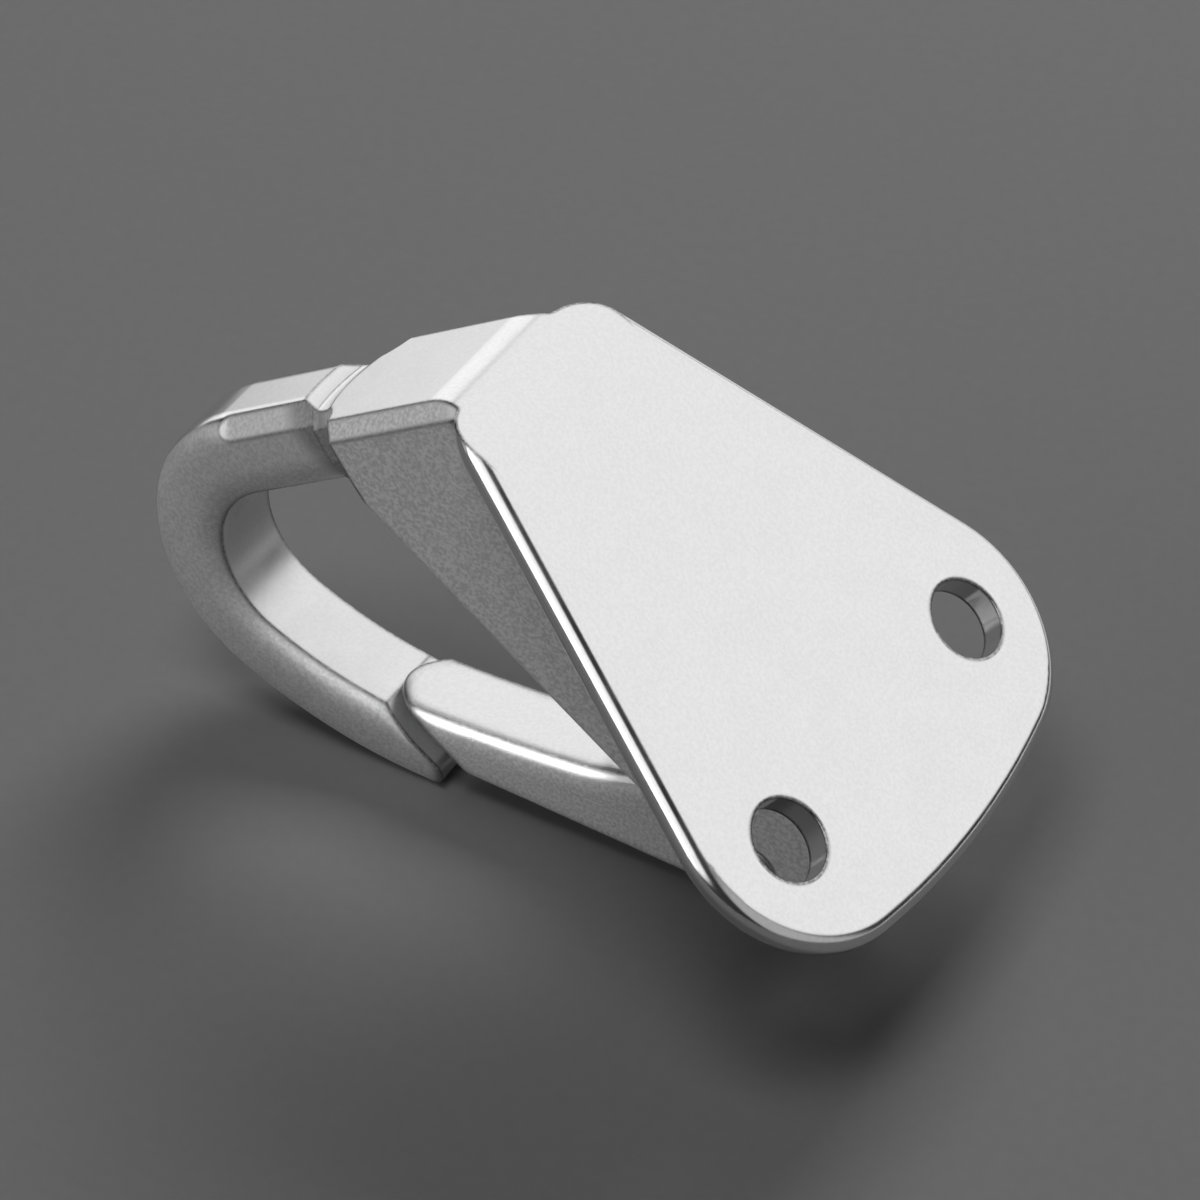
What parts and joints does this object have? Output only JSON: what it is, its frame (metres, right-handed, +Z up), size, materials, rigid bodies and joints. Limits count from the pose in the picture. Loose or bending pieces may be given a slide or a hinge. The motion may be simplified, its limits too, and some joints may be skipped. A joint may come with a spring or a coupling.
{
  "type": "fender hook",
  "caption": "Polished stainless fender hook: a tapered lacing plate with two holes carries a D-section hook, closed by a sprung gate on a cross pin.",
  "frame": {"origin": "bottom centre of the hook's bounding box, on the floor it stands on", "axes": "+Z up from the floor, +X towards the lacing plate and away from the hook's crown, Y across the plate, which is also the gate's hinge direction"},
  "size_m": [0.0722, 0.0432, 0.0433],
  "materials": {
    "polished_stainless": "bright electropolished stainless steel",
    "satin_stainless": "satin stainless steel pin",
    "spring_steel": "drawn stainless spring wire"
  },
  "bodies": {
    "hook": {"hook_body": "polished_stainless", "gate_pin": "satin_stainless", "gate_spring": "spring_steel"},
    "gate": {"gate": "polished_stainless"}
  },
  "joints": [
    {"name": "gate_hinge", "type": "hinge", "parent": "hook", "child": "gate", "pos_m": [0.02077, 0, 0.00877], "axis": [0, 1, 0], "range_deg": [0, 28], "stiffness_Nm_per_rad": 0.1, "springref_deg": -89.95, "deforming": ["gate_spring"]}
  ]
}
